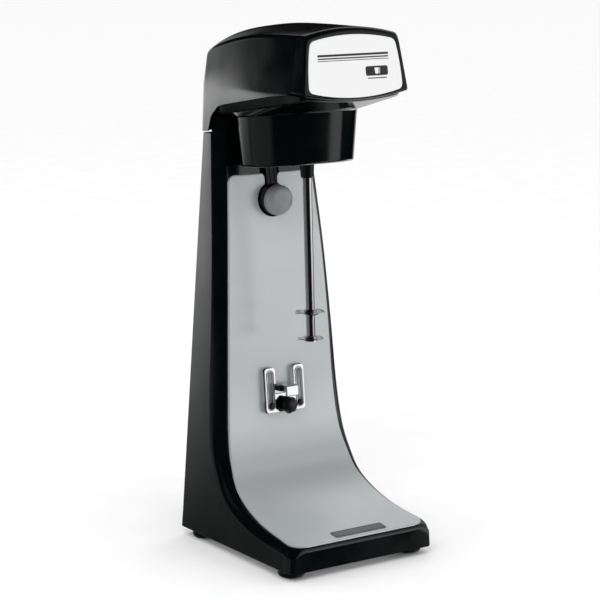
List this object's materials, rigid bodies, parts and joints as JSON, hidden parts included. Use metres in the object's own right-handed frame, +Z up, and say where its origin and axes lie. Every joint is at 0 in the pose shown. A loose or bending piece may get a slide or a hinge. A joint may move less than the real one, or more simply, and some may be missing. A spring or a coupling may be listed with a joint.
{
  "type": "milkshake mixer",
  "caption": "Single-spindle milkshake mixer: tapered black column on a wide base, motor head with a plate, wavy agitator discs on a shaft, sprung start lever and sliding cup rest.",
  "frame": {"origin": "middle of the footprint, on the surface that the feet stand on", "axes": "+Z up, -Y towards the front, where the user stands, +X to the right as seen from the front"},
  "size_m": [0.171, 0.197, 0.52],
  "materials": {
    "black_gloss": "glossy black moulding",
    "black_matte": "satin black plastic",
    "silver_paint": "satin silver-grey sheet",
    "steel": "polished stainless steel",
    "chrome": "bright chrome plate",
    "zinc_plate": "zinc-plated steel",
    "rubber": "black rubber",
    "grey_plastic": "satin light grey plastic",
    "plate_white": "bright white-silver plate",
    "label_grey": "grey label film",
    "copper": "enamelled copper wire",
    "core_steel": "laminated electrical steel",
    "carbon": "carbon"
  },
  "bodies": {
    "stand": {"base_plate": "zinc_plate", "brush_holder_left": "zinc_plate", "brush_holder_right": "zinc_plate", "brush_left": "carbon", "brush_right": "carbon", "column_housing": "black_gloss", "cord_inlet_bush": "rubber", "field_coil_lower_left": "copper", "field_coil_lower_right": "copper", "field_coil_upper_left": "copper", "field_coil_upper_right": "copper", "foot_front_left": "rubber", "foot_front_right": "rubber", "foot_rear_left": "rubber", "foot_rear_right": "rubber", "foot_screw_front_left": "zinc_plate", "foot_screw_front_right": "zinc_plate", "foot_screw_rear_left": "zinc_plate", "foot_screw_rear_right": "zinc_plate", "front_bezel": "black_gloss", "guide_screw_left": "steel", "guide_screw_right": "steel", "head_cover": "black_gloss", "label_strip": "label_grey", "lever_pivot_pin": "steel", "lever_return_spring": "steel", "lower_bearing": "steel", "lower_bearing_plate": "zinc_plate", "motor_housing": "black_gloss", "nameplate": "plate_white", "rear_panel": "black_matte", "rear_panel_screw_1": "zinc_plate", "rear_panel_screw_2": "zinc_plate", "rocker_frame": "black_matte", "splash_liner": "silver_paint", "start_switch": "black_matte", "stator_core": "core_steel", "switch_bracket": "zinc_plate", "terminal_block": "black_matte", "upper_bearing": "steel", "upper_bearing_plate": "zinc_plate"},
    "rotor": {"armature_core": "core_steel", "armature_winding_lower": "copper", "armature_winding_upper": "copper", "commutator": "copper", "cooling_fan": "black_matte", "rotor_shaft": "steel", "spindle_coupling": "black_matte", "spindle_shaft": "steel", "agitator_upper": "steel", "agitator_lower": "steel"},
    "start_lever": {"actuator_lever": "black_matte", "actuator_cap": "grey_plastic"},
    "switch_plunger_body": {"switch_plunger": "grey_plastic"},
    "rocker": {"speed_rocker": "black_gloss"},
    "cup_rest": {"cup_rest_bracket": "chrome", "cup_ledge": "chrome"},
    "clamp": {"clamp_knob": "black_matte", "clamp_stud": "zinc_plate"}
  },
  "joints": [
    {"name": "spindle_spin", "type": "hinge", "parent": "stand", "child": "rotor", "pos_m": [0, -0.0039, 0.3808], "axis": [0, 0.0419, 0.9991], "continuous": true},
    {"name": "start_lever_press", "type": "hinge", "parent": "stand", "child": "start_lever", "pos_m": [0, 0.071, 0.376], "axis": [1, 0, 0], "range_deg": [0, 6], "stiffness_Nm_per_rad": 0.5, "springref_deg": -3.44},
    {"name": "switch_plunger_travel", "type": "slide", "parent": "stand", "child": "switch_plunger_body", "axis": [0, 1, 0], "range_m": [0, 0.0025]},
    {"name": "speed_rocker_tip", "type": "hinge", "parent": "stand", "child": "rocker", "pos_m": [0.05572, 0.012, 0.4777], "axis": [0, 1, 0], "range_deg": [0, 18]},
    {"name": "cup_rest_height", "type": "slide", "parent": "stand", "child": "cup_rest", "axis": [0, -0.0995, -0.995], "range_m": [0, 0.028]},
    {"name": "clamp_knob_turn", "type": "hinge", "parent": "cup_rest", "child": "clamp", "pos_m": [0, 0.03381, 0.13658], "axis": [0, -0.995, 0.0995], "range_deg": [0, 360]}
  ],
  "couplings": [
    {"joint": "switch_plunger_travel", "follows": "start_lever_press", "m_per_rad": 0.019}
  ]
}
